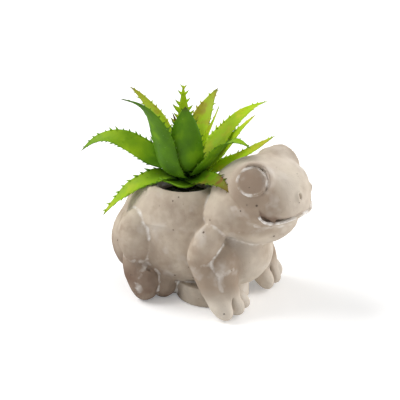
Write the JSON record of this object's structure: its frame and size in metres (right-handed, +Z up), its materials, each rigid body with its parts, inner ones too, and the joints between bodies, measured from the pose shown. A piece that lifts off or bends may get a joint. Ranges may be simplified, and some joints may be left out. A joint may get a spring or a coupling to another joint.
{
  "type": "animal shaped planter",
  "caption": "Cement planter cast as a sitting frog, with a round planting hole in its back that holds a foam plug and an artificial aloe.",
  "frame": {"origin": "the point of the cement base's flat underside straight below the axis of the planting hole; the felt pads reach 0.5 mm lower, to z = 0", "axes": "+X towards the frog's nose, +Y towards its left side, +Z up along the planting hole"},
  "size_m": [0.169, 0.1192, 0.1538],
  "materials": {
    "cement": "matte",
    "felt": "matte",
    "foam": "matte",
    "stem_plastic": "satin",
    "wire": "satin",
    "collar_plastic": "gloss",
    "leaf_plastic": "satin"
  },
  "bodies": {
    "frog": {"frog_body": "cement", "frog_head": "cement", "felt_pad_front_left": "felt", "felt_pad_front_right": "felt", "felt_pad_rear_left": "felt", "felt_pad_rear_right": "felt"},
    "foam": {"foam_plug": "foam"},
    "plant": {"stem_sleeve": "stem_plastic", "stem_wire": "wire", "stem_collar": "collar_plastic", "leaf_hub": "leaf_plastic", "leaf_low_left": "leaf_plastic", "leaf_low_left_front": "leaf_plastic", "leaf_low_rear": "leaf_plastic", "leaf_low_right_front": "leaf_plastic", "leaf_low_right_rear": "leaf_plastic", "leaf_middle_left": "leaf_plastic", "leaf_middle_left_rear": "leaf_plastic", "leaf_middle_rear": "leaf_plastic", "leaf_middle_right": "leaf_plastic", "leaf_outer_front": "leaf_plastic", "leaf_outer_left": "leaf_plastic", "leaf_outer_left_rear": "leaf_plastic", "leaf_outer_right": "leaf_plastic", "leaf_top_front": "leaf_plastic", "leaf_top_rear": "leaf_plastic", "leaf_upper_left": "leaf_plastic", "leaf_upper_rear": "leaf_plastic", "heart_leaf_1": "leaf_plastic", "heart_leaf_2": "leaf_plastic", "heart_leaf_3": "leaf_plastic"}
  },
  "joints": [
    {"name": "foam_lift", "type": "slide", "parent": "frog", "child": "foam", "axis": [0, 0, 1], "range_m": [0, 0.075]},
    {"name": "plant_lift", "type": "slide", "parent": "foam", "child": "plant", "axis": [0, 0, 1], "range_m": [0, 0.04]}
  ]
}
